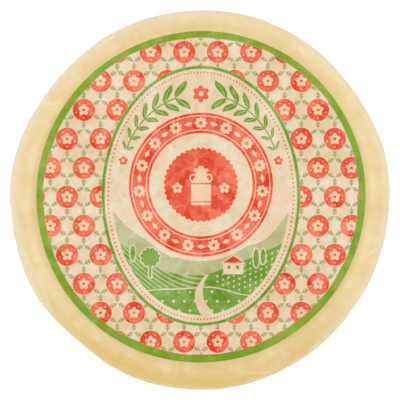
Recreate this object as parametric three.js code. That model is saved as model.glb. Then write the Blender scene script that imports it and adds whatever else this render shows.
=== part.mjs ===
// A whole caciotta: a low round table cheese with a smooth rind, and the round paper
// label that lies on its upper face. Millimetres, +Z up, origin under the middle of the base.
import * as THREE from 'three';
import { mergeVertices } from 'three/addons/utils/BufferGeometryUtils.js';

// The wheel
const wheelDiameter = 190;
const wheelHeight = 66;
const heelHeight = 31; // of the widest line round the side
const footRadius = 75; // of the flat that the wheel rests on
const shoulderRadius = 78; // where the top starts to turn down into the side
const crown = 1.8; // fall of the top from the middle to the full radius
const lowerFullness = 2.3; // superellipse exponents of the side: 2 is an ellipse,
const upperFullness = 2.4; // and a larger one is squarer

// The label
const labelDiameter = 162;
const labelThickness = 0.3;
const labelGap = 0.2; // between the paper and the rind
const labelShift = new THREE.Vector2(0.3, 1.4); // of the label's middle from the wheel's

// The outline isn't a true circle: waves round it, each with a crest towards an angle
const outlineWaves = [
  { count: 2, depth: 0.27, towards: 58 },
  { count: 3, depth: 0.28, towards: 52 },
  { count: 4, depth: 0.38, towards: 3 },
  { count: 7, depth: 0.2, towards: 9 },
];

// Broad swells and hollows of the top
const topSwells = [
  { x: -40, y: 24, reach: 34, rise: 0.5 },
  { x: 28, y: 44, reach: 30, rise: 0.35 },
  { x: 46, y: -22, reach: 32, rise: 0.45 },
  { x: -16, y: -50, reach: 30, rise: -0.4 },
  { x: 4, y: 2, reach: 30, rise: -0.5 },
];

// Shallow flats that handling leaves on the side
const sideFlats = [
  { towards: 40, height: 42, reach: 24, depth: 0.4 },
  { towards: 142, height: 24, reach: 28, depth: 0.35 },
  { towards: 228, height: 40, reach: 22, depth: 0.4 },
  { towards: 326, height: 20, reach: 26, depth: 0.35 },
];
const flatFade = 8; // power of the radius by which a flat fades towards the middle

// Fineness of the mesh
const segments = 96;
const sideSteps = 12; // in each half of the side
const footRings = [0, 40, footRadius];
const topRings = [75, 68, 56, 42, 28, 14, 0];
const labelRings = [0, 14, 28, 42, 56, 68, 75, 79, labelDiameter / 2];

const wheelRadius = wheelDiameter / 2;
const crownShare = crown / (wheelHeight - heelHeight);
const radians = THREE.MathUtils.degToRad;

// Height of the even, unwaved top at a radius
function evenTop(radius) {
  const reach = Math.max(0, (radius - shoulderRadius) / (wheelRadius - shoulderRadius));
  const fall = Math.pow(1 - Math.min(1, reach) ** upperFullness, 1 / upperFullness);
  const dome = 1 - crownShare * (radius / wheelRadius) ** 2;
  return heelHeight + (wheelHeight - heelHeight) * dome * fall;
}

// How much wider than the even wheel the real one is at an angle
function widening(angle) {
  let wave = 0;
  for (const { count, depth, towards } of outlineWaves) {
    wave += depth * Math.cos(count * (angle - radians(towards)));
  }
  return 1 + wave / wheelRadius;
}

// How far the handled side lies inside the even one
function flattening(angle, height) {
  let sum = 0;
  for (const flat of sideFlats) {
    const along = 2 * wheelRadius * Math.sin((angle - radians(flat.towards)) / 2);
    const up = height - flat.height;
    sum += flat.depth * Math.exp(-(along ** 2 + up ** 2) / flat.reach ** 2);
  }
  return sum;
}

// The swells lift the top fully and fade to nothing at the foot
function swelling(x, y, height) {
  let sum = 0;
  for (const swell of topSwells) {
    const squared = (x - swell.x) ** 2 + (y - swell.y) ** 2;
    sum += swell.rise * Math.exp(-squared / swell.reach ** 2);
  }
  return sum * (height / wheelHeight) ** 2;
}

// Height of the wheel's top over a point
function topHeight(x, y) {
  const even = evenTop(Math.hypot(x, y) / widening(Math.atan2(y, x)));
  return even + swelling(x, y, even);
}

// The half outline of the even wheel, from the middle of the base to the middle of the top
function wheelProfile() {
  const points = footRings.map((radius) => new THREE.Vector2(radius, 0));
  for (let step = 1; step <= sideSteps; step++) {
    const turn = (step / sideSteps) * (Math.PI / 2);
    const out = Math.sin(turn) ** (2 / lowerFullness);
    const down = Math.max(0, Math.cos(turn)) ** (2 / lowerFullness);
    points.push(new THREE.Vector2(footRadius + (wheelRadius - footRadius) * out, heelHeight * (1 - down)));
  }
  for (let step = 1; step <= sideSteps; step++) {
    const turn = (step / sideSteps) * (Math.PI / 2);
    const out = Math.max(0, Math.cos(turn)) ** (2 / upperFullness);
    const radius = shoulderRadius + (wheelRadius - shoulderRadius) * out;
    points.push(new THREE.Vector2(radius, evenTop(radius)));
  }
  for (const radius of topRings) {
    points.push(new THREE.Vector2(radius, evenTop(radius)));
  }
  return points;
}

// The profile turned about +Z, as one closed mesh with shared vertices
function turned(profile) {
  const geometry = new THREE.LatheGeometry(profile, segments);
  geometry.rotateX(Math.PI / 2);
  geometry.deleteAttribute('normal');
  geometry.deleteAttribute('uv');
  return mergeVertices(geometry);
}

function reshape(geometry, place) {
  const positions = geometry.getAttribute('position');
  for (let i = 0; i < positions.count; i++) {
    const { x, y, z } = place(positions.getX(i), positions.getY(i), positions.getZ(i));
    positions.setXYZ(i, x, y, z);
  }
  geometry.computeVertexNormals();
  return geometry;
}

function cheeseWheel() {
  const geometry = reshape(turned(wheelProfile()), (x, y, z) => {
    const angle = Math.atan2(y, x);
    const radius = Math.hypot(x, y);
    const inward = flattening(angle, z) * (radius / wheelRadius) ** flatFade;
    const scale = radius > 0 ? widening(angle) * (1 - inward / radius) : 1;
    return { x: x * scale, y: y * scale, z: z + swelling(x * scale, y * scale, z) };
  });
  const rind = new THREE.MeshStandardMaterial({ color: 0xeed6a3, roughness: 0.45, metalness: 0 });
  const mesh = new THREE.Mesh(geometry, rind);
  mesh.name = 'cheese_wheel';
  return mesh;
}

// A thin disc whose two faces both follow the top of the wheel
function paperLabel() {
  const under = labelRings.map((radius) => new THREE.Vector2(radius, labelGap));
  const over = labelRings.map((radius) => new THREE.Vector2(radius, labelGap + labelThickness));
  const geometry = reshape(turned([...under, ...over.reverse()]), (x, y, z) => {
    return { x, y, z: z + topHeight(x + labelShift.x, y + labelShift.y) };
  });
  const paper = new THREE.MeshStandardMaterial({ color: 0xecd4b3, roughness: 0.6, metalness: 0 });
  const mesh = new THREE.Mesh(geometry, paper);
  mesh.name = 'paper_label';
  mesh.position.set(labelShift.x, labelShift.y, 0);
  return mesh;
}

const caciotta = new THREE.Group();
caciotta.add(cheeseWheel(), paperLabel());

export default caciotta;
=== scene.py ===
import math

import bpy
import numpy as np
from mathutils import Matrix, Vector
from mathutils.geometry import delaunay_2d_cdt


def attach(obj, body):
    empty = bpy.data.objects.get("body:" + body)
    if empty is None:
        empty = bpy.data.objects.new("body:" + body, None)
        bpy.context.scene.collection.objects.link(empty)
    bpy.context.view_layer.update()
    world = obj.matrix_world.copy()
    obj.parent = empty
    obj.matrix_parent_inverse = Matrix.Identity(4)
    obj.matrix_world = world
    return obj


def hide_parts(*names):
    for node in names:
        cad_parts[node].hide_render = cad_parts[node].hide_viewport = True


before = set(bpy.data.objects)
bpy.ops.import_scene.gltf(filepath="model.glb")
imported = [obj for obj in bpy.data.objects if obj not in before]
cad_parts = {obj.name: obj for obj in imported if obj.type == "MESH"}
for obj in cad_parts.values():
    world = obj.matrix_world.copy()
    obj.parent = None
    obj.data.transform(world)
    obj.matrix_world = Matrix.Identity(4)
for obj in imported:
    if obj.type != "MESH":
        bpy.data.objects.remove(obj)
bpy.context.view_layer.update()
print("frame loaded with", len(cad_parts), "nodes")

mm = 0.001
hair = 0.1 * mm  # the least length that another is divided by
mergeReach = 0.002 * mm  # points closer than this become one


def deselectAll():
    for thing in bpy.context.selected_objects:
        thing.select_set(False)
    bpy.context.view_layer.objects.active = None


def spinProfile(name, points, steps):
    # a single vertex is pushed along the half outline, which is spun through an eighth of a turn,
    # and the eighth is then copied round; steps is for the whole turn
    deselectAll()
    bpy.ops.mesh.primitive_plane_add(size=mm, location=(0, 0, 0))
    piece = bpy.context.active_object
    piece.name = name
    piece.data.name = name
    bpy.ops.object.mode_set(mode="EDIT")
    bpy.ops.mesh.select_all(action="SELECT")
    bpy.ops.mesh.merge(type="CENTER")
    bpy.ops.transform.translate(value=(points[0][0], 0, points[0][1]))
    for here, there in zip(points, points[1:]):
        step = (there[0] - here[0], 0, there[1] - here[1])
        bpy.ops.mesh.extrude_region_move(TRANSFORM_OT_translate={"value": step})
    bpy.ops.mesh.select_all(action="SELECT")
    eighth = math.tau / 8
    bpy.ops.mesh.spin(steps=steps // 8, angle=eighth, center=(0, 0, 0), axis=(0, 0, 1))
    for turn in (eighth, 2 * eighth, 4 * eighth):
        bpy.ops.mesh.select_all(action="SELECT")
        bpy.ops.mesh.duplicate()
        bpy.ops.transform.rotate(value=turn, orient_axis="Z", center_override=(0, 0, 0))
    bpy.ops.mesh.select_all(action="SELECT")
    bpy.ops.mesh.remove_doubles(threshold=mergeReach)
    bpy.ops.mesh.normals_make_consistent(inside=False)
    bpy.ops.object.mode_set(mode="OBJECT")
    return piece


def readPlaces(piece):
    places = np.empty(len(piece.data.vertices) * 3)
    piece.data.vertices.foreach_get("co", places)
    return places.reshape(-1, 3)


def writePlaces(piece, places):
    piece.data.vertices.foreach_set("co", places.ravel())
    piece.data.update()


def storeValues(piece, name, values):
    attribute = piece.data.attributes.new(name, "FLOAT", "POINT")
    attribute.data.foreach_set("value", values.astype(np.float32))


def smoothShade(piece):
    piece.data.polygons.foreach_set("use_smooth", [True] * len(piece.data.polygons))
    piece.data.update()


def fadeIn(values, start, end):
    share = np.clip((values - start) / (end - start), 0, 1)
    return share * share * (3 - 2 * share)


def arch(share):
    # 0 at both ends of 0 to 1 and 1 in the middle
    return share * (1 - share) * 4


def ripple(places, seed, count, shortest, longest):
    # soft even waviness: plane waves in random directions, about one unit high
    draw = np.random.default_rng(seed)
    total = np.zeros(len(places))
    for _ in range(count):
        way = draw.normal(size=3)
        way /= np.linalg.norm(way)
        waveLength = draw.uniform(shortest, longest)
        total += np.sin(places @ way * (math.tau / waveLength) + draw.uniform(0, math.tau))
    return total * math.sqrt(2 / count)


def roundWaves(angle, waves):
    # waves that run round an outline; each is a count, a depth and the angle of one of its crests
    total = 0
    for count, depth, towards in waves:
        total = total + depth * np.cos(count * (angle - math.radians(towards)))
    return total


# The wheel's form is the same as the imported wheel's.

wheel = {
    "radius": 95 * mm,
    "height": 66 * mm,
    "heelHeight": 31 * mm,  # of the widest line
    "footRadius": 75 * mm,  # of the flat base
    "shoulderRadius": 78 * mm,  # where the top starts to fall
    "crown": 1.8 * mm,  # how far an even top would bulge
    "lowerFullness": 2.3,  # power of the curve: 2 is an ellipse, and more is squarer
    "upperFullness": 2.4,
    "outlineWaves": [  # count, depth, towards
        (2, 0.27 * mm, 58),
        (3, 0.28 * mm, 52),
        (4, 0.38 * mm, 3),
        (7, 0.2 * mm, 9),
    ],
    "topSwells": [  # x, y, reach, rise
        (-40 * mm, 24 * mm, 34 * mm, 0.5 * mm),
        (28 * mm, 44 * mm, 30 * mm, 0.35 * mm),
        (46 * mm, -22 * mm, 32 * mm, 0.45 * mm),
        (-16 * mm, -50 * mm, 30 * mm, -0.4 * mm),
        (4 * mm, 2 * mm, 30 * mm, -0.5 * mm),
    ],
    "swellFade": 2,  # power of the height
    "sideFlats": [  # angle, height, reach, depth
        (40, 42 * mm, 24 * mm, 0.4 * mm),
        (142, 24 * mm, 28 * mm, 0.35 * mm),
        (228, 40 * mm, 22 * mm, 0.4 * mm),
        (326, 20 * mm, 26 * mm, 0.35 * mm),
    ],
    "flatFade": 8,  # power of the distance from the middle
}


def evenTop(radius):
    # height of the upper half at a radius, before the swells
    shoulder = wheel["shoulderRadius"]
    reach = np.clip((radius - shoulder) / (wheel["radius"] - shoulder), 0, 1)
    fall = (1 - reach ** wheel["upperFullness"]) ** (1 / wheel["upperFullness"])
    rise = wheel["height"] - wheel["heelHeight"]
    dome = 1 - wheel["crown"] / rise * (radius / wheel["radius"]) ** 2
    return wheel["heelHeight"] + rise * dome * fall


def widening(angle):
    return 1 + roundWaves(angle, wheel["outlineWaves"]) / wheel["radius"]


def flattening(angle, height):
    # how far the side is pressed in
    total = 0
    for towards, middle, reach, depth in wheel["sideFlats"]:
        along = 2 * wheel["radius"] * np.sin((angle - math.radians(towards)) / 2)
        total = total + depth * np.exp(-(along ** 2 + (height - middle) ** 2) / reach ** 2)
    return total


def swelling(x, y, height):
    total = 0
    for middleX, middleY, reach, rise in wheel["topSwells"]:
        total = total + rise * np.exp(-((x - middleX) ** 2 + (y - middleY) ** 2) / reach ** 2)
    return total * (height / wheel["height"]) ** wheel["swellFade"]


def topHeight(x, y):
    even = evenTop(np.hypot(x, y) / widening(np.arctan2(y, x)))
    return even + swelling(x, y, even)


rind = {
    "steps": 720,
    "baseStep": 5 * mm,  # between the rings of the flat base
    "lowerPoints": 36,
    "upperPoints": 54,
    "topRings": (76, 74, 70, 64, 56, 46, 34, 20, 0),  # radii in millimetres
    "skinWaves": [  # seed, count, shortest, longest, depth
        (11, 26, 9 * mm, 26 * mm, 0.06 * mm),
        (12, 30, 3.4 * mm, 7 * mm, 0.025 * mm),
    ],
    "restFade": (0, 6 * mm),  # heights over which the waviness comes in
    "pressWaves": [  # small dents and bulges of the outline over the wheel's own: count, depth, towards
        (2, 0.08 * mm, 9),
        (6, 0.08 * mm, 8),
        (8, 0.12 * mm, -19),
        (9, 0.15 * mm, 9),
        (10, 0.06 * mm, -6),
        (11, 0.1 * mm, 13),
    ],
    "pressFade": (84 * mm, 93 * mm),  # radii over which they come in
    "upwardPush": 1.6,  # the skin moves away from the wheel's middle, and more up than out
    "creases": [  # from x, y to x, y, then width and height
        (-19.5 * mm, -81.5 * mm, -16.5 * mm, -85.0 * mm, 0.7 * mm, 0.22 * mm),
        (-17.6 * mm, -81.9 * mm, -15.0 * mm, -84.2 * mm, 0.5 * mm, 0.14 * mm),
        (-52.5 * mm, -67.5 * mm, -49.5 * mm, -70.0 * mm, 0.6 * mm, 0.16 * mm),
        (-35.4 * mm, -76.6 * mm, -33.2 * mm, -78.9 * mm, 0.5 * mm, 0.16 * mm),
        (20.5 * mm, -85.3 * mm, 35.5 * mm, -86.0 * mm, 0.7 * mm, 0.3 * mm),
        (-79.6 * mm, -38.9 * mm, -73.8 * mm, -55.6 * mm, 0.7 * mm, 0.3 * mm),
        (-88.0 * mm, -24.3 * mm, -82.4 * mm, -36.9 * mm, 0.7 * mm, 0.25 * mm),
        (81.0 * mm, -28.5 * mm, 87.5 * mm, -24.0 * mm, 0.7 * mm, 0.2 * mm),
        (52.0 * mm, 69.5 * mm, 49.0 * mm, 76.5 * mm, 0.7 * mm, 0.2 * mm),
        (-70.5 * mm, 47.0 * mm, -77.5 * mm, 47.5 * mm, 0.7 * mm, 0.2 * mm),
    ],
    "creaseEnds": 0.2,  # share of a crease's height that is left at its ends
    "creaseFade": (45 * mm, 52 * mm),  # the creases lie over these heights alone
}


def rindProfile():
    points = []
    foot = wheel["footRadius"]
    for radius in np.arange(0, foot, rind["baseStep"]):
        points.append((radius, 0))
    points.append((foot, 0))
    power = 2 / wheel["lowerFullness"]
    turns = np.linspace(0, math.pi / 2, rind["lowerPoints"])[1:]
    for turn in turns:
        out = math.sin(turn) ** power
        down = max(0, math.cos(turn)) ** power
        radius = foot + (wheel["radius"] - foot) * out
        points.append((radius, wheel["heelHeight"] * (1 - down)))
    power = 2 / wheel["upperFullness"]
    shoulder = wheel["shoulderRadius"]
    turns = np.linspace(0, math.pi / 2, rind["upperPoints"])[1:]
    for turn in turns:
        radius = shoulder + (wheel["radius"] - shoulder) * max(0, math.cos(turn)) ** power
        points.append((radius, float(evenTop(radius))))
    for radius in rind["topRings"]:
        points.append((radius * mm, float(evenTop(radius * mm))))
    return points


def nearLine(x, y, startX, startY, endX, endY, width):
    # how strongly a crease shows at each place: 1 on its line, 0 away from it
    wayX, wayY = endX - startX, endY - startY
    share = ((x - startX) * wayX + (y - startY) * wayY) / (wayX ** 2 + wayY ** 2)
    held = np.clip(share, 0, 1)
    gap = np.hypot(x - startX - held * wayX, y - startY - held * wayY)
    return np.exp(-((gap / width) ** 2)) * np.clip(arch(held) + rind["creaseEnds"], 0, 1)


def skinWave(places):
    # fine waviness of the skin, none of it on the flat that the wheel rests on
    wave = np.zeros(len(places))
    for seed, count, shortest, longest, depth in rind["skinWaves"]:
        wave += ripple(places, seed, count, shortest, longest) * depth
    return wave * fadeIn(places[:, 2], *rind["restFade"])


def makeRind():
    piece = spinProfile("cheese_rind", rindProfile(), rind["steps"])
    places = readPlaces(piece)
    x, y, z = places.T  # three views of places, so that they change together
    angle = np.arctan2(y, x)
    radius = np.hypot(x, y)
    inward = flattening(angle, z) * (radius / wheel["radius"]) ** wheel["flatFade"]
    scale = widening(angle) * (1 - inward / np.maximum(radius, hair))
    x *= scale
    y *= scale
    z += swelling(x, y, z)
    pressed = fadeIn(radius, *rind["pressFade"]) * fadeIn(z, *rind["restFade"])
    wave = skinWave(places) + roundWaves(angle, rind["pressWaves"]) * pressed
    out = np.stack([x, y, (z - wheel["heelHeight"]) * rind["upwardPush"]], 1)
    out /= np.maximum(np.linalg.norm(out, axis=1), hair)[:, None]
    places += out * wave[:, None]
    onTop = fadeIn(z, *rind["creaseFade"])
    creased = np.zeros(len(places))
    for *line, height in rind["creases"]:
        ridge = onTop * nearLine(x, y, *line)
        z += height * ridge
        creased = np.maximum(creased, ridge)
    writePlaces(piece, places)
    storeValues(piece, "creased", creased)
    smoothShade(piece)
    print("rind modelled,", len(piece.data.polygons), "faces")
    return piece


label = {
    "radius": 81.45 * mm,
    "middle": (0.3 * mm, 1.4 * mm),
    "thickness": 0.22 * mm,
    "edgeRound": 0.06 * mm,
    "edgePoints": (0.3, 0.7),  # heights of the edge's two corners, in thicknesses
    "lift": 0.1 * mm,  # of the underside over the rind
    "rimLift": -0.14 * mm,  # the same at the rim, which is pressed into the rind
    "rimFrom": 78 * mm,
    "steps": 560,
    "rings": 84,
    "underRings": (0, 20, 40, 60, 72, 78),  # radii of the underside in millimetres
    "cutWaves": [(2, 0.42 * mm, 67.5), (5, 0.06 * mm, 9), (9, 0.05 * mm, 12)],  # count, depth, towards
    "crumples": [(21, 15 * mm, 0.2 * mm), (22, 7 * mm, 0.07 * mm)],  # seed, spacing, depth
    "scatter": 0.42,  # of the crumples' points, in spacings
    "edgeCalm": 0.7,  # the rim lies flatter than the rest
    "calmFrom": 70 * mm,
    "pleats": [  # angle, width, height, inner end
        (233, 0.8 * mm, 0.35 * mm, 70 * mm),
        (236.5, 0.6 * mm, 0.25 * mm, 73 * mm),
        (228, 0.6 * mm, 0.2 * mm, 74 * mm),
        (248, 0.7 * mm, 0.2 * mm, 73 * mm),
        (196, 0.6 * mm, 0.18 * mm, 75 * mm),
        (152, 0.6 * mm, 0.2 * mm, 74 * mm),
        (118, 0.5 * mm, 0.15 * mm, 75 * mm),
        (74, 0.7 * mm, 0.2 * mm, 74 * mm),
        (28, 0.6 * mm, 0.22 * mm, 73 * mm),
        (352, 0.6 * mm, 0.2 * mm, 74 * mm),
        (318, 0.7 * mm, 0.24 * mm, 73 * mm),
        (283, 0.6 * mm, 0.18 * mm, 75 * mm),
    ],
}


def crumple(x, y, seed, spacing):
    # flat facets between scattered points at random heights from 0 to 1, as in creased paper
    draw = np.random.default_rng(seed)
    reach = label["radius"] + 2 * spacing
    scatter = label["scatter"]
    points = []
    for middleX in np.arange(-reach, reach, spacing):
        for middleY in np.arange(-reach, reach, spacing):
            shift = draw.uniform(-scatter, scatter, 2) * spacing
            points.append(Vector((middleX + shift[0], middleY + shift[1])))
    heights = draw.uniform(0, 1, len(points))
    closest = 1e-7  # points nearer than this would be one
    leastArea = 1e-12  # of a facet that counts
    slack = 1e-6  # lets neighbouring facets share their border
    corners, _, faces, origins, _, _ = delaunay_2d_cdt(points, [], [], 0, closest)
    result = np.full(len(x), 0.5)
    for face in faces:
        (ax, ay), (bx, by), (cx, cy) = [corners[i] for i in face]
        high = [heights[origins[i][0]] for i in face]
        area = (by - cy) * (ax - cx) + (cx - bx) * (ay - cy)
        if abs(area) < leastArea:
            continue
        first = ((by - cy) * (x - cx) + (cx - bx) * (y - cy)) / area
        second = ((cy - ay) * (x - cx) + (ax - cx) * (y - cy)) / area
        third = 1 - first - second
        inside = (first >= -slack) & (second >= -slack) & (third >= -slack)
        result[inside] = (first * high[0] + second * high[1] + third * high[2])[inside]
    return result


def labelProfile():
    edge = label["radius"]
    thick = label["thickness"]
    inset = edge - label["edgeRound"]
    points = [(radius * mm, 0) for radius in label["underRings"]]
    points.append((inset, 0))
    points += [(edge, thick * share) for share in label["edgePoints"]]
    points += [(float(radius), thick) for radius in np.linspace(inset, 0, label["rings"])]
    return points


def makeLabel():
    piece = spinProfile("label_sheet", labelProfile(), label["steps"])
    places = readPlaces(piece)
    x, y, z = places.T.copy()
    angle = np.arctan2(y, x)
    scale = 1 + roundWaves(angle, label["cutWaves"]) / label["radius"]
    x *= scale
    y *= scale
    radius = np.hypot(x, y)
    relief = np.zeros(len(places))
    facets = []
    for seed, spacing, depth in label["crumples"]:
        facets.append(crumple(x, y, seed, spacing))
        relief += facets[-1] * depth
    relief *= 1 - label["edgeCalm"] * fadeIn(radius, label["calmFrom"], label["radius"])
    for towards, width, high, inner in label["pleats"]:
        turn = angle - math.radians(towards)
        across = radius * np.sin(turn)
        ridge = np.exp(-((across / width) ** 2)) * fadeIn(radius, inner, label["radius"])
        relief += high * ridge * (np.cos(turn) > 0)
    pressed = fadeIn(radius, label["rimFrom"], label["radius"])
    lift = label["lift"] + (label["rimLift"] - label["lift"]) * pressed
    middleX, middleY = label["middle"]
    bed = np.stack([x + middleX, y + middleY, topHeight(x + middleX, y + middleY)], 1)
    places[:, :2] = bed[:, :2]
    places[:, 2] = z + lift + relief + bed[:, 2] + skinWave(bed)
    writePlaces(piece, places)
    for name, values in zip(("broadLift", "smallLift"), facets):
        storeValues(piece, name, values)
    smoothShade(piece)
    print("label modelled,", len(piece.data.polygons), "faces")
    return piece


class Wire:
    # one socket of a node tree; sums on it add Math nodes, and node() adds any other
    def __init__(self, tree, socket):
        self.tree = tree
        self.socket = socket

    def node(self, kind, settings, values, output=0):
        made = self.tree.nodes.new(kind)
        for name, setting in settings.items():
            setattr(made, name, setting)
        for place, value in values.items():
            if isinstance(value, Wire):
                self.tree.links.new(value.socket, made.inputs[place])
            else:
                made.inputs[place].default_value = value
        return Wire(self.tree, made.outputs[output])

    def maths(self, operation, first, second=0.0, third=0.0, clamp=False):
        settings = {"operation": operation, "use_clamp": clamp}
        return self.node("ShaderNodeMath", settings, {0: first, 1: second, 2: third})

    def vector(self, operation, second, third=(0, 0, 0), output=0):
        values = {0: self, 1: second, 2: third}
        return self.node("ShaderNodeVectorMath", {"operation": operation}, values, output)

    def __add__(self, other):
        return self.maths("ADD", self, other)

    __radd__ = __add__

    def __sub__(self, other):
        return self.maths("SUBTRACT", self, other)

    def __rsub__(self, other):
        return self.maths("SUBTRACT", other, self)

    def __mul__(self, other):
        return self.maths("MULTIPLY", self, other)

    __rmul__ = __mul__

    def __truediv__(self, other):
        return self.maths("DIVIDE", self, other)

    def __rtruediv__(self, other):
        return self.maths("DIVIDE", other, self)

    def __abs__(self):
        return self.maths("ABSOLUTE", self)

    def __neg__(self):
        return self.maths("MULTIPLY", self, -1.0)


def linear(red, green, blue):
    # a colour as a screen shows it, 0 to 255, to the shader's own values
    parts = []
    for part in (red, green, blue):
        share = part / 255
        parts.append(share / 12.92 if share <= 0.04045 else ((share + 0.055) / 1.055) ** 2.4)
    return (*parts, 1)


def lesser(first, second):
    return first.maths("MINIMUM", first, second)


def greater(first, second):
    return first.maths("MAXIMUM", first, second)


def sine(wire):
    return wire.maths("SINE", wire)


def cosine(wire):
    return wire.maths("COSINE", wire)


def clamped(wire):
    return wire.maths("ADD", wire, 0.0, clamp=True)


def blend(first, second, share):
    # a colour between two others
    settings = {"data_type": "RGBA"}
    return share.node("ShaderNodeMix", settings, {0: share, 6: first, 7: second}, 2)


def noise(place, scale, detail=2.0, roughness=0.5):
    values = {"Scale": scale, "Detail": detail, "Roughness": roughness}
    return place.node("ShaderNodeTexNoise", {}, {"Vector": place, **values})


def sway(place, scale, detail, low, high):
    # a shift from low to high in x and y that changes over the place
    values = {"Vector": place, "Scale": scale, "Detail": detail}
    shift = place.node("ShaderNodeTexNoise", {}, values, 1)
    return shift.vector("MULTIPLY_ADD", (high - low, high - low, 0), (low, low, 0))


def between(wire, low, high):
    # 0 at low, 1 at high, smooth between
    settings = {"interpolation_type": "SMOOTHSTEP"}
    return wire.node("ShaderNodeMapRange", settings, {0: wire, 1: low, 2: high, 3: 0.0, 4: 1.0})


def patches(place, spacing):
    # flat-sided patches: a random value for each, and the distance to its border
    values = {"Vector": place, "Scale": 1 / spacing}
    shade = place.node("ShaderNodeTexVoronoi", {}, values, "Color")
    settings = {"feature": "DISTANCE_TO_EDGE"}
    border = place.node("ShaderNodeTexVoronoi", settings, values, "Distance")
    return split(shade, 1)[0], border * spacing


def stored(place, name):
    # the values that storeValues kept on the piece
    return place.node("ShaderNodeAttribute", {"attribute_name": name}, {}, 2)


def split(place, count=2):
    return [place.node("ShaderNodeSeparateXYZ", {}, {0: place}, i) for i in range(count)]


def span(x, y):
    # length of the line from the middle to x, y
    squared = x * x + y * y
    return squared.maths("SQRT", squared)


def newMaterial(name):
    # a material, its shader and the place on the piece in millimetres
    material = bpy.data.materials.new(name)
    material.use_nodes = True
    tree = material.node_tree
    shader = tree.nodes["Principled BSDF"]
    coordinates = tree.nodes.new("ShaderNodeTexCoord")
    place = Wire(tree, coordinates.outputs["Object"]).vector("MULTIPLY", (1 / mm,) * 3)
    return material, shader, place


def feed(shader, name, wire):
    wire.tree.links.new(wire.socket, shader.inputs[name])


def feedBump(shader, height, values):
    feed(shader, "Normal", height.node("ShaderNodeBump", {}, {**values, "Height": height}))


def setInputs(shader, values):
    for name, value in values.items():
        shader.inputs[name].default_value = value


# In both finishes a bare length is in millimetres, and a noise is its scale, detail and roughness.
rindFinish = {
    "pale": linear(243, 219, 174),
    "straw": linear(230, 199, 132),
    # painted sheen: a whiter tone for the edges that catch the light
    "paintedSheen": linear(247, 227, 182),
    "broadNoise": (0.04, 3.0),
    "broadRange": (0.35, 0.65),
    "mottleNoise": (0.14, 4.0, 0.55),
    "mottleRange": (0.3, 0.7),
    "streakNoise": (0.16, 3.0),
    "streakRange": (0.3, 0.7),
    "streakStretch": (0.1, 0.1, 0.15),  # share of the real distance that a streak sees along itself
    "streakBend": (0.04, 1.0, 0, 22),  # scale and detail of its noise, then from and to
    "streakHeight": (2, 12),  # where the streaks start and are full
    "strawShares": (0.34, 0.34, 0.32),  # of the broad blotches, the mottling and the streaks
    # where and how strongly the painted sheen lies high on the side
    "paintedSheenHeight": (60, 46),
    "paintedSheenShare": 0.5,
    "shadeSheenAndStains": [  # painted shade, painted sheen and one stain; each is a colour, strength, towards which angle, where it starts and is full, at which heights
        # painted shade: deeper yellow low on the shoulder towards -y, where less light and sheen fall
        (linear(233, 193, 92), 1.0, 260, (42, 88), (67.5, 56)),
        # painted sheen: whiter on the shoulder's edge towards the upper left
        (linear(238, 225, 195), 0.7, 135, (55, 80), (56, 46)),
        # painted sheen: whiter at the outer edge towards 196 degrees
        (linear(243, 229, 195), 0.7, 196, (83, 94), (59, 47)),
        # painted shade: darker high on the shoulder next to the label's edge, towards +y
        (linear(224, 198, 130), 0.45, 68, (35, 80), (59.5, 62.5)),
        # a deeper straw tone low on the shoulder towards +y
        (linear(230, 199, 132), 0.35, 68, (50, 88), (56, 48)),
    ],
    "drift": 9,  # how far the borders of the painted shade, painted sheen and stain wander
    "heightDrift": 0.15,  # share of it that counts for their heights
    "wallHeight": (22, 58),  # the painted sheen, painted shade and stain fade out down the side
    "edgeShade": linear(220, 200, 124),  # painted shade: a darker yellow-green band on the rind along the label's edge
    "edgeShadeReach": (3.4, 0.0),
    "edgeShadeHeight": (40, 50),
    "edgeShadeShare": 0.6,
    "creaseSheenShare": 0.6,  # how far the film's creases turn to the painted sheen colour, a painted highlight along them
    "roughness": 0.42,
    "mottleRoughness": 0.12,
    "grainNoise": (0.5, 4.0, 0.6),
    "streakRelief": 0.5,
    "bump": {"Strength": 0.16, "Distance": 0.6 * mm},
    "inputs": {
        "Subsurface Weight": 0.25,
        "Subsurface Radius": (1.0, 0.55, 0.25),
        "Subsurface Scale": 4 * mm,
        "Coat Weight": 0.8,
        "Coat Roughness": 0.35,
    },
}


def streaks(place, z):
    # soft wandering streaks that run down over the shoulder and the side
    spoke = place.vector("MULTIPLY", (1, 1, 0)).vector("NORMALIZE", (0, 0, 0))
    slow = place.vector("MULTIPLY", rindFinish["streakStretch"])
    slow = slow.vector("ADD", sway(place, *rindFinish["streakBend"]))
    radius = wheel["radius"] / mm
    wall = spoke.vector("MULTIPLY_ADD", (radius, radius, 0), slow)
    streak = between(noise(wall, *rindFinish["streakNoise"]), *rindFinish["streakRange"])
    return streak * between(z, *rindFinish["streakHeight"])


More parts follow.
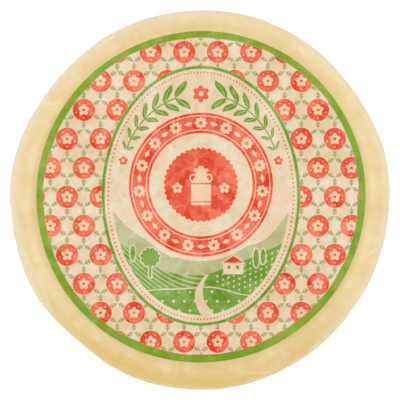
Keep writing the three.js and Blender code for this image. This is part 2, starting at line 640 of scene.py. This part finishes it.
def rindMaterial():
    # pale straw with soft blotches and streaks; painted shade makes one shoulder deeper yellow and
    # darkens the rind by the label, and painted sheen makes other edges whiter
    material, shader, place = newMaterial("rindFinish")
    x, y, z = split(place, 3)
    broad = between(noise(place, *rindFinish["broadNoise"]), *rindFinish["broadRange"])
    mottle = between(noise(place, *rindFinish["mottleNoise"]), *rindFinish["mottleRange"])
    streak = streaks(place, z)
    broadShare, mottleShare, streakShare = rindFinish["strawShares"]
    straw = clamped(broad * broadShare + mottle * mottleShare + streak * streakShare)
    colour = blend(rindFinish["pale"], rindFinish["straw"], straw)
    upper = between(z, *rindFinish["wallHeight"])
    # painted sheen: whiter high on the side, where the edge catches the light
    paintedSheen = between(z, *rindFinish["paintedSheenHeight"]) * upper * rindFinish["paintedSheenShare"]
    colour = blend(colour, rindFinish["paintedSheen"], paintedSheen)
    drift = (broad + mottle - 1.0) * rindFinish["drift"]
    height = z - drift * rindFinish["heightDrift"]
    # painted shade and painted sheen on parts of the shoulder, and one straw stain
    for tone, strength, towards, sideRange, heightRange in rindFinish["shadeSheenAndStains"]:
        turn = math.radians(towards)
        side = x * math.cos(turn) + y * math.sin(turn) + drift
        share = between(side, *sideRange) * between(height, *heightRange)
        colour = blend(colour, tone, share * upper * strength)
    # painted shade along the label's edge
    middleX, middleY = [v / mm for v in label["middle"]]
    away = span(x - middleX, y - middleY) - label["radius"] / mm
    edgeShade = between(away, *rindFinish["edgeShadeReach"]) * between(z, *rindFinish["edgeShadeHeight"])
    colour = blend(colour, rindFinish["edgeShade"], edgeShade * rindFinish["edgeShadeShare"])
    # painted highlight along the film's creases
    colour = blend(colour, rindFinish["paintedSheen"], stored(place, "creased") * rindFinish["creaseSheenShare"])
    feed(shader, "Base Color", colour)
    feed(shader, "Roughness", mottle * rindFinish["mottleRoughness"] + rindFinish["roughness"])
    grain = noise(place, *rindFinish["grainNoise"])
    feedBump(shader, grain + streak * rindFinish["streakRelief"], rindFinish["bump"])
    setInputs(shader, rindFinish["inputs"])
    return material


# The label's print, measured from the label's middle. Each shape is worked out as the distance
# outside its edge, which is below 0 inside it, and cover() turns that into ink.
paper = {
    "cream": linear(245, 227, 205),
    "damp": linear(223, 199, 155),
    "pink": linear(247, 209, 178),
    "moss": linear(229, 217, 175),
    "leafPale": linear(141, 175, 84),
    "leafDeep": linear(94, 144, 8),
    "olive": linear(134, 139, 62),
    "ringPale": linear(155, 174, 66),
    "ringDeep": linear(129, 151, 0),
    "ringFresh": linear(70, 156, 34),
    "redPale": linear(247, 132, 102),
    "redDeep": linear(222, 40, 6),
    "halo": linear(252, 208, 168),
    "inkBlur": 0.35,
    "haloReach": 0.7,
    "haloShare": 0.5,
    "inkStrength": 0.98,
    "oliveStrength": 0.9,
    "knockout": 0.92,  # how much of the ink is left out where the paper shows through
    "freshNoise": (0.1, 2.0),  # of the places where the border is greener
    "freshRange": (0.42, 0.58),
    "freshShare": 0.32,
    "shake": (0.9, 2.0, -0.22, 0.22),  # of the print's edges: scale and detail, then from and to
    "patchBend": (0.35, 3.0, 0.0, 3.0),  # the same for the patches' borders
    "patchSpacing": (10.0, 4.0),  # of the angular patches where the damp paper holds to the rind
    # where the paper touches the rind: shares of facets, patches and noise, the noise, the range
    "touch": ((0.4, 0.35, 0.3), (0.12, 3.0), (0.78, 0.36)),
    "fleck": ((0.35, 0.45, 0.4), (0.45, 2.0), (0.88, 0.34)),
    "touchShare": {"sheet": 0.6, "ring": 0.6, "leaf": 0.5, "red": 0.4},  # the rest follows the flecks
    "tintNoise": (0.09, 3.0, 0.6),
    "tintPatch": 0.35,
    "tintRange": (0.45, 0.9),
    "creaseWidth": 0.32,
    "creaseStrength": 0.35,
    "wideCrease": 0.6,  # makes the wide patches' creases broader
    "creaseNoise": (0.2, 2.0),
    "creaseBreaks": (3.0, 1.2),  # how much the noise breaks the creases up, and its level
    "outerReach": (25.0, 75.0),  # the paper is a little damper outwards
    "outerDamp": 0.2,
    "innerDry": 0.08,
    "roughness": 0.62,
    "touchRoughness": 0.12,
    "fibreNoise": (1.4, 3.0, 0.6),
    "bump": {"Strength": 0.12, "Distance": 0.3 * mm},
    "inputs": {"Specular IOR Level": 0.2},
}


def cover(distance, blur=paper["inkBlur"]):
    return distance.maths("MULTIPLY_ADD", distance, -1 / blur, 0.5, clamp=True)


def bearing(y, x):
    return y.maths("ARCTAN2", y, x)


def wrapped(wire, half):
    # the value folded into -half to half
    return wire.maths("WRAP", wire, half, -half)


def slab(x, y, halfWidth, halfHeight, corner=0.0):
    # a box with round corners, x and y from its middle
    across = abs(x) - (halfWidth - corner)
    up = abs(y) - (halfHeight - corner)
    return span(greater(across, 0.0), greater(up, 0.0)) + lesser(greater(across, up), 0.0) - corner


def oval(flat, x, y, halfWidth, halfHeight):
    local = flat.vector("SUBTRACT", (x, y, 0))
    lengths = []
    for power in (1, 2):
        scaled = local.vector("MULTIPLY", (halfWidth ** -power, halfHeight ** -power, 0))
        lengths.append(scaled.vector("LENGTH", (0, 0, 0), output=1))
    return lengths[0] * (lengths[0] - 1.0) / lengths[1]


def blossom(x, y, petals, reach, notch, eye):
    # a flower with one petal up and a round eye left out
    away = span(x, y)
    turn = bearing(x, y) * (petals / 2)
    outside = away - (abs(cosine(turn)) * notch + (reach - notch))
    return greater(outside, eye - away)


def lens(along, aside, half, width):
    # a pointed leaf that lies along, with its middle at 0
    share = along / half
    return aside - (1.0 - share * share) * width


def hexCell(flat, spacing):
    # places counted from the nearest point of a lattice of triangles
    half = (spacing / 2, spacing * math.sqrt(3) / 2, 1)
    low = tuple(-v for v in half)
    parts = [flat.vector("ADD", shift).vector("WRAP", half, low) for shift in ((0, 0, 0), half)]
    sizes = [part.vector("LENGTH", (0, 0, 0), output=1) for part in parts]
    closer = sizes[0].maths("GREATER_THAN", sizes[0], sizes[1])
    settings = {"data_type": "VECTOR"}
    return closer.node("ShaderNodeMix", settings, {0: closer, 4: parts[0], 5: parts[1]}, 1)


field = {
    "spacing": 16.5,
    "spotRadius": 5.5,
    "flower": (5, 2.9, 1.1, 0.7),  # petals, reach, notch, eye
    "seeds": (3.9, 0.3),  # distance from the middle, radius
    "stem": (0.4, 3.4, 0.2),  # start, end, half width
    "leafPitch": 1.15,
    "leafReach": 1.15,
    "leafWidth": 0.35,
    "leafSlant": 0.9,  # along the stem, for each millimetre away from it
    "leafRow": (1.5, 0.6),  # middle and half of the part of the stem that bears leaves, in pitches
    "bud": (3.3, 0.75, 0.36),  # middle, half length, half width
}


def fieldInk(flat):
    # red spots with a plain flower, and between each three spots a star of three olive sprigs
    x, y = split(hexCell(flat, field["spacing"]))
    away = span(x, y)
    turn = bearing(y, x)
    petals = field["flower"][0]
    fifth = wrapped(bearing(x, y) + math.pi / petals, math.pi / petals)
    seedOut, seedRadius = field["seeds"]
    seeds = span(away * cosine(fifth) - seedOut, away * sine(fifth)) - seedRadius
    cream = cover(lesser(blossom(x, y, *field["flower"]), seeds))
    gap = away - field["spotRadius"]
    red = cover(gap) * (1.0 - cream * paper["knockout"])
    sixth = math.pi / 6
    fold = wrapped(turn - sixth, sixth)
    along = field["spacing"] / math.sqrt(3) - away * cosine(fold)
    aside = abs(away * sine(fold))
    start, end, half = field["stem"]
    stem = slab(along - (start + end) / 2, aside, (end - start) / 2, half)
    pitch = field["leafPitch"]
    slanted = along - aside * field["leafSlant"]
    cell = wrapped(slanted, pitch / 2)
    leaf = abs(cell) - arch(aside / field["leafReach"]) * field["leafWidth"]
    rowMiddle, rowHalf = field["leafRow"]
    leaf = greater(leaf, abs(slanted - cell - pitch * rowMiddle) - pitch * rowHalf)
    middle, half, width = field["bud"]
    bud = lens(along - middle, aside, half, width)
    return gap, red, cover(lesser(lesser(stem, leaf), bud))


medallion = {
    "middle": (0.0, 0.5),
    "halfWidth": 48.2,
    "halfHeight": 63.4,
    "line": 0.75,  # half width
    "margin": 4.6,  # from its outline to the landscape
}
beads = {"inset": 2.5, "radius": 0.42, "count": 176}
hub = (0.0, 6.0)  # the middle of the band and of the seal
ringPrint = {
    "innerRadius": 77.95,
    "middle": (0.06, 0.29),
    "waves": [(2, 0.37, 63.6), (7, 0.14, 20), (13, 0.12, 11), (29, 0.09, 3)],  # count, depth, towards
}


def ringInk(flat):
    # the broad green border, whose inner edge wavers where the paper is creased
    x, y = split(flat.vector("SUBTRACT", (*ringPrint["middle"], 0)))
    turn = bearing(y, x)
    edge = ringPrint["innerRadius"]
    for count, depth, towards in ringPrint["waves"]:
        edge = cosine((turn - math.radians(towards)) * count) * depth + edge
    return cover(edge - span(x, y))


def beadInk(x, y, rim):
    # a row of red beads inside the medallion's outline
    scaledX = (x - medallion["middle"][0]) / medallion["halfWidth"]
    scaledY = (y - medallion["middle"][1]) / medallion["halfHeight"]
    pitch = math.pi * (medallion["halfWidth"] + medallion["halfHeight"]) / beads["count"]
    along = wrapped(bearing(scaledY, scaledX) * (beads["count"] / math.tau), 0.5) * pitch
    return cover(span(along, rim + beads["inset"]) - beads["radius"])


band = {
    "outer": 35.5,
    "inner": 25.5,
    "lineInset": 1.5,
    "line": 0.24,  # half width
    "count": 15,
    "flower": (8, 3.0, 0.8, 0.9),  # petals, reach, notch, eye
    "lozenge": (2.2, 1.1),  # half length, half height
    "clearance": 2.2,  # of bare paper between it and the landscape
}


def bandInk(away, turn):
    # a red band with two fine cream lines and a row of cream flowers and lozenges
    middle = (band["outer"] + band["inner"]) / 2
    half = (band["outer"] - band["inner"]) / 2
    gap = abs(away - middle) - half
    line = abs(gap + band["lineInset"]) - band["line"]
    step = math.pi / band["count"]
    marks = []
    for shift in (0.0, step):
        fold = wrapped(turn + shift, step)
        marks.append((away * sine(fold), away * cosine(fold) - middle))
    flower = blossom(*marks[0], *band["flower"])
    long, high = band["lozenge"]
    lozenge = abs(marks[1][0]) * (high / long) + abs(marks[1][1]) - high
    cream = cover(lesser(line, lesser(flower, lozenge)))
    return gap, cover(gap) * (1.0 - cream * paper["knockout"])


seal = {
    "radius": 18.4,
    "scallops": 40,
    "scallop": 0.9,
    "sideFlower": (11.6, -1.6),  # x, y
    "flower": (5, 2.7, 1.0, 0.6),  # petals, reach, notch, eye
}
churn = {
    "body": (4.9, 5.7, 0.9, -4.4),  # half width, half height, corner, middle
    "shoulder": (0.8, 4.4, 4.9, 0.66),  # from, to, half width at its foot, slope
    "neck": (2.5, 1.5, 0.0, 5.2),
    "lid": (3.7, 0.8, 0.6, 7.1),
    "knob": (1.3, 0.75, 0.5, 8.4),
    "handle": (3.7, 3.3, 1.7, 0.4),  # x, y, radius, half thickness
    "hoops": (-8.4, 0.5),
    "hoopHalf": 0.28,
}


def churnInk(side, up):
    # a milk churn, drawn for one side and mirrored
    low, high, foot, slope = churn["shoulder"]
    shape = greater(side + (up - low) * slope - foot, abs(up - (low + high) / 2) - (high - low) / 2)
    for name in ("body", "neck", "lid", "knob"):
        halfWidth, halfHeight, corner, middle = churn[name]
        shape = lesser(shape, slab(side, up - middle, halfWidth, halfHeight, corner))
    handleX, handleY, radius, half = churn["handle"]
    shape = lesser(shape, abs(span(side - handleX, up - handleY) - radius) - half)
    for height in churn["hoops"]:
        shape = greater(shape, churn["hoopHalf"] - abs(up - height))
    return cover(shape)


def sealInk(x, up, away, turn):
    # a scalloped red seal with a churn between two flowers
    side = abs(x)
    wave = abs(sine(turn * (seal["scallops"] / 2)))
    gap = away - (wave * seal["scallop"] + (seal["radius"] - seal["scallop"]))
    middleX, middleY = seal["sideFlower"]
    flower = blossom(side - middleX, up - middleY, *seal["flower"])
    cream = greater(churnInk(side, up), cover(flower))
    return gap, cover(gap) * (1.0 - cream * paper["knockout"])


wreath = {
    "inner": 37.4,  # radius of the leaves' inner tips
    "slim": 2.2,  # half breadth at the sides
    "full": 5.2,  # added to it at the top
    "stretch": 44.0,  # radius that the spacing is counted at
    "pitch": 6.2,
    "first": 2,  # leaf, counted from the top
    "last": 8,
    "overhang": 0.5,  # of the outer leaves over the stem's ends
    "sweep": 0.85,  # slant of its leaves along the stem
    "leafWidth": 0.24,
    "leafSlim": 0.76,  # a swept leaf is this much slimmer across than along the stem
    "stem": 0.32,
    "rib": 0.15,
    "ribMiddle": 0.45,  # of the leaf's length
    "ribHalf": 0.33,
    "ribStrength": 0.8,
    "topFlower": (6, 4.2, 1.4, 1.2),  # petals, reach, notch, eye
    "endFlower": (5, 2.3, 0.8, 0.6),
    "endTurn": 1.27,  # radians from the top to an end flower
}


def wreathInk(x, up, away):
    # two leafy sprays that rise round the band towards a flower over it
    turn = bearing(abs(x), up)
    lean = cosine(turn)
    half = lean * lean * wreath["full"] + wreath["slim"]
    out = abs(away - half - wreath["inner"])
    share = out / half
    along = turn * wreath["stretch"]
    slanted = along + out * wreath["sweep"]
    cell = wrapped(slanted, wreath["pitch"] / 2)
    leaf = abs(cell) * wreath["leafSlim"] - arch(share) * half * wreath["leafWidth"]
    middle = (wreath["first"] + wreath["last"]) / 2 * wreath["pitch"]
    reach = (wreath["last"] - wreath["first"]) / 2 * wreath["pitch"]
    leaf = greater(leaf, abs(slanted - cell - middle) - reach - wreath["overhang"])
    ribEnds = abs(share - wreath["ribMiddle"]) * half - half * wreath["ribHalf"]
    rib = greater(abs(cell) - wreath["rib"], ribEnds)
    stem = greater(out - wreath["stem"], abs(along - middle) - reach)
    green = greater(cover(leaf) * (1.0 - cover(rib) * wreath["ribStrength"]), cover(stem))
    top = blossom(x, up - (wreath["inner"] + wreath["slim"] + wreath["full"]), *wreath["topFlower"])
    endLean = math.cos(wreath["endTurn"])
    endAway = wreath["inner"] + wreath["slim"] + wreath["full"] * endLean ** 2
    endX, endUp = endAway * math.sin(wreath["endTurn"]), endAway * endLean
    end = blossom(abs(x) - endX, up - endUp, *wreath["endFlower"])
    return green, cover(lesser(top, end))


land = {
    # height, bowl, and waves with their own height, length and start
    "farHills": (-29.5, 0.011, ((1.6, 7.5, 0.8), (0.9, 3.7, 2.2))),
    "midHills": (-36.8, 0.008, ((2.2, 12.0, -0.7),)),
    "meadow": (-47.0, 0.0, ((2.4, 14.0, 1.9), (0.6, 5.0, 0.3))),
    "farTint": 0.5,
    "furrows": (2.3, 0.42, 0.22, 2.0, 0.8),  # pitch, width, slant, right end, clear of the meadow
    "vines": (2.7, 0.5, 7.0, 1.3),  # spacing, radius, left end, clear of the hill's edges
    "hedge": 0.32,
    "road": (4.0, -37.0, 5.0, 7.0),  # x and y of its far end, swing, wave length
    "roadWidth": (0.4, 0.14, 0.5),  # at its far end, widening, clear of the hill's edge
    "flowers": (5.4, 0.7, 1.6),  # spacing, radius, clear of the hedge
    "house": (16.0, -35.0, 4.4, 2.6),  # x, y, half width, half height
    "roof": (0.66, 5.4, 3.4, 0.1),  # slope, half width, height, overlap with the wall
    "windows": (2.1, 0.3, 0.7, 0.85),  # x, y, half width, half height
    "bigTree": (-25.0, -29.8, 4.6, 0.7, 11, 0.55, 6.6),  # x, y, crown, ruffle, lobes, trunk, its length
    "slimTrees": (  # x, y, half width, half height
        (27.2, -30.2, 1.35, 4.6),
        (30.6, -29.4, 1.1, 3.7),
        (-33.6, -27.8, 1.2, 3.8),
    ),
    "outline": 0.55,  # of bare paper round trees and house
}


def crest(x, shape):
    height, bowl, waves = shape
    line = x * x * bowl + height
    for high, length, start in waves:
        line = line + sine(x / length + start) * high
    return line


def treeGap(flat, x, y):
    treeX, treeY, crown, ruffle, lobes, trunk, trunkLong = land["bigTree"]
    aside, above = x - treeX, y - treeY
    tree = span(aside, above) - sine(bearing(above, aside) * lobes) * (ruffle / 2) - crown
    tree = lesser(tree, slab(aside, above + trunkLong, trunk, trunkLong / 2))
    for slim in land["slimTrees"]:
        tree = lesser(tree, oval(flat, *slim))
    return tree


def houseInk(x, y):
    # room for the house, its green windows and its red roof
    houseX, houseY, halfWidth, halfHeight = land["house"]
    aside, above = abs(x - houseX), y - houseY
    slope, roofHalf, roofTop, overlap = land["roof"]
    roof = greater(aside * slope + above - halfHeight - roofTop, halfHeight - overlap - above)
    roof = greater(roof, aside - roofHalf)
    windowX, windowY, windowHalf, windowHigh = land["windows"]
    window = slab(aside - windowX, above - windowY, windowHalf, windowHigh)
    room = lesser(slab(aside, above, halfWidth, halfHeight), roof)
    return cover(room - land["outline"]), cover(window), cover(roof)


def roadGap(x, y, mid):
    farX, farY, swing, length = land["road"]
    narrow, widen, clear = land["roadWidth"]
    bend = sine((y - farY) / length) * swing
    road = abs(x - farX - bend) - (farY - y) * widen - narrow
    return greater(road, mid + clear)


def landInk(flat, x, y, bounds):
    # hills under the band: a ploughed slope, a vineyard with a farmhouse, a road and a meadow
    far = y - crest(x, land["farHills"])
    mid = y - crest(x, land["midHills"])
    near = y - crest(x, land["meadow"])
    pitch, width, slant, right, clear = land["furrows"]
    furrow = abs(wrapped(mid + x * slant, pitch / 2)) - width / 2
    furrow = greater(greater(furrow, x - right), clear - near)
    hedge = abs(near) - land["hedge"]
    spacing, dot, clear = land["flowers"]
    flowerX, flowerY = split(hexCell(flat, spacing))
    flowers = greater(span(flowerX, flowerY) - dot, near + clear)
    pitch, radius, left, clear = land["vines"]
    vines = span(wrapped(x, pitch / 2), wrapped(mid, pitch / 2)) - radius
    vines = greater(greater(vines, left - x), greater(mid + clear, clear - near))
    gaps = lesser(lesser(furrow, roadGap(x, y, mid)), lesser(hedge, lesser(flowers, vines)))
    fields = cover(lesser(mid, near)) * (1.0 - cover(gaps) * paper["knockout"])
    green = greater(fields, cover(far) * cover(-mid) * land["farTint"])
    tree = treeGap(flat, x, y)
    green = greater(green * (1.0 - cover(tree - land["outline"])), cover(tree))
    room, windows, roof = houseInk(x, y)
    green = greater(green * (1.0 - room), windows)
    inside = cover(bounds)
    return green * inside, roof * inside


def printInk(flat):
    # how much green, red, border green, olive and red halo lies at each place
    x, y = split(flat)
    ring = ringInk(flat)
    rim = oval(flat, *medallion["middle"], medallion["halfWidth"], medallion["halfHeight"])
    outline = cover(abs(rim) - medallion["line"])
    outside = cover(-rim)
    spotGap, spotRed, sprigs = fieldInk(flat)
    away = flat.vector("DISTANCE", (*hub, 0), output=1)
    up = y - hub[1]
    turn = bearing(x, up)
    bandGap, bandRed = bandInk(away, turn)
    sealGap, sealRed = sealInk(x, up, away, turn)
    wreathGreen, wreathRed = wreathInk(x, up, away)
    bounds = greater(rim + medallion["margin"], band["outer"] + band["clearance"] - away)
    landGreen, landRed = landInk(flat, x, y, bounds)
    inner = greater(greater(bandRed, sealRed), beadInk(x, y, rim))
    inner = greater(inner, greater(wreathRed, landRed))
    free = 1.0 - greater(ring, outline)
    red = greater(spotRed * outside, inner) * free
    green = greater(outline, greater(wreathGreen, landGreen))
    nearSpot = cover(spotGap - paper["haloReach"], paper["haloReach"] * 2) * outside
    nearBand = cover(lesser(bandGap, sealGap) - paper["haloReach"], paper["haloReach"] * 2)
    return green, red, ring, sprigs * outside * free, greater(nearSpot, nearBand) * free


def contact(place, facet, patch, shares, cloud, reach):
    # 1 where the paper lies on the rind, in low facets and in some of the patches
    facetShare, patchShare, cloudShare = shares
    lift = facet * facetShare + patch * patchShare + noise(place, *cloud) * cloudShare
    return between(lift, *reach)


def dampness(contacts, name):
    touch, fleck, crease = contacts
    share = paper["touchShare"][name]
    return touch * share + fleck * (1 - share) - crease


def ink(contacts, name):
    # the tone of an ink, deeper where the paper is damp
    return blend(paper[name + "Pale"], paper[name + "Deep"], clamped(dampness(contacts, name)))


def sheetColour(place, flat, contacts, patch):
    # cream paper, darker where it is damp, a little pink in some places and greenish in others
    outer = between(span(*split(flat)), *paper["outerReach"]) * paper["outerDamp"]
    damp = clamped(dampness(contacts, "sheet") + outer - paper["innerDry"])
    tint = patch * paper["tintPatch"] + noise(place, *paper["tintNoise"])
    tint = between(tint, *paper["tintRange"])
    sheet = blend(paper["cream"], paper["damp"], damp)
    return blend(sheet, blend(paper["pink"], paper["moss"], tint), abs(tint - 0.5))


def labelMaterial():
    # damp cream paper under the print; creases change the colour of paper and ink a little
    material, shader, place = newMaterial("labelPaper")
    middleX, middleY = [v / mm for v in label["middle"]]
    flat = place.vector("MULTIPLY_ADD", (1, 1, 0), (-middleX, -middleY, 0))
    green, red, ring, olive, halo = printInk(flat.vector("ADD", sway(flat, *paper["shake"])))
    bent = flat.vector("ADD", sway(flat, *paper["patchBend"]))
    wide, wideBorder = patches(bent, paper["patchSpacing"][0])
    close, closeBorder = patches(bent, paper["patchSpacing"][1])
    touch = contact(place, stored(place, "broadLift"), wide, *paper["touch"])
    fleck = contact(place, stored(place, "smallLift"), close, *paper["fleck"])
    breaks, level = paper["creaseBreaks"]
    crease = lesser(wideBorder * paper["wideCrease"], closeBorder) / paper["creaseWidth"]
    crease = crease + noise(place, *paper["creaseNoise"]) * breaks - level
    crease = between(crease, 1.0, 0.0) * paper["creaseStrength"]
    contacts = (touch, fleck, crease)
    fresh = between(noise(place, *paper["freshNoise"]), *paper["freshRange"]) * paper["freshShare"]
    edging = blend(ink(contacts, "ring"), paper["ringFresh"], fresh)
    colour = sheetColour(place, flat, contacts, wide)
    colour = blend(colour, paper["halo"], halo * paper["haloShare"])
    colour = blend(colour, paper["olive"], olive * paper["oliveStrength"])
    for tone, share in ((ink(contacts, "leaf"), green), (ink(contacts, "red"), red), (edging, ring)):
        colour = blend(colour, tone, share * paper["inkStrength"])
    feed(shader, "Base Color", colour)
    feed(shader, "Roughness", paper["roughness"] - touch * paper["touchRoughness"])
    feedBump(shader, noise(place, *paper["fibreNoise"]), paper["bump"])
    setInputs(shader, paper["inputs"])
    return material


def dress(piece, material, nodeName):
    piece.data.materials.clear()
    piece.data.materials.append(material)
    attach(piece, "root")
    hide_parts(nodeName)


dress(makeRind(), rindMaterial(), "cheese_wheel")
dress(makeLabel(), labelMaterial(), "paper_label")
print("rind and label dressed")


studio = {
    "floorSize": 24.0,
    "floorInputs": {
        "Base Color": (0.9, 0.9, 0.9, 1),
        "Roughness": 0.9,
        "Specular IOR Level": 0.0,
        "Emission Color": (1, 1, 1, 1),
        "Emission Strength": 0.36,
    },
    "roomInputs": {"Color": (1, 1, 1, 1), "Strength": 0.62},
    "lights": {  # place, width and depth, power
        "rightLight": ((2.1, 0.0, 1.0), (2.6, 1.2), 12.9),
        "leftLight": ((-2.1, 0.0, 1.0), (2.6, 1.2), 12.3),
        "frontLight": ((0.0, -2.1, 1.0), (2.6, 1.2), 6.9),
        "backLight": ((0.0, 1.4, 1.9), (1.6, 1.6), 13.9),
    },
}


def makeFloor():
    deselectAll()
    bpy.ops.mesh.primitive_plane_add(size=studio["floorSize"], location=(0, 0, 0))
    floor = bpy.context.active_object
    floor.name = "floor"
    material = bpy.data.materials.new("floorWhite")
    material.use_nodes = True
    setInputs(material.node_tree.nodes["Principled BSDF"], studio["floorInputs"])
    floor.data.materials.append(material)
    floor.visible_glossy = False


def makeLights():
    # an even white room, and four broad lights that face the wheel
    world = bpy.data.worlds.new("softRoom")
    bpy.context.scene.world = world
    world.use_nodes = True
    setInputs(world.node_tree.nodes["Background"], studio["roomInputs"])
    middle = Vector((0, 0, wheel["heelHeight"]))
    for name, (place, (width, depth), power) in studio["lights"].items():
        data = bpy.data.lights.new(name, "AREA")
        data.shape = "RECTANGLE"
        data.size = width
        data.size_y = depth
        data.energy = power
        lamp = bpy.data.objects.new(name, data)
        bpy.context.scene.collection.objects.link(lamp)
        lamp.location = place
        lamp.rotation_euler = (middle - lamp.location).to_track_quat("-Z", "Y").to_euler()
        lamp.visible_camera = False


view = {
    "distance": 1.7,  # from the wheel's widest line, straight above it
    "frameSide": 400,  # pixels of the square picture
    "wheelSpan": 377.5,  # pixels across the wheel
    "wheelMiddle": (200.3, 199.7),  # pixel of its middle
    "sensor": 36.0,
    "clip": (0.05, 20),  # nearest and farthest that it sees
}


def makeCamera():
    data = bpy.data.cameras.new("camera")
    camera = bpy.data.objects.new("camera", data)
    bpy.context.scene.collection.objects.link(camera)
    pixel = 2 * wheel["radius"] / view["wheelSpan"]
    across = view["frameSide"] * pixel
    half = view["frameSide"] / 2
    data.sensor_width = view["sensor"]
    data.lens = view["sensor"] * view["distance"] / across
    data.clip_start, data.clip_end = view["clip"]
    left = (half - view["wheelMiddle"][0]) * pixel
    down = (view["wheelMiddle"][1] - half) * pixel
    camera.location = (left, down, wheel["heelHeight"] + view["distance"])
    bpy.context.scene.camera = camera


makeFloor()
makeLights()
makeCamera()
bpy.context.scene.view_settings.view_transform = "Standard"
print("studio ready")
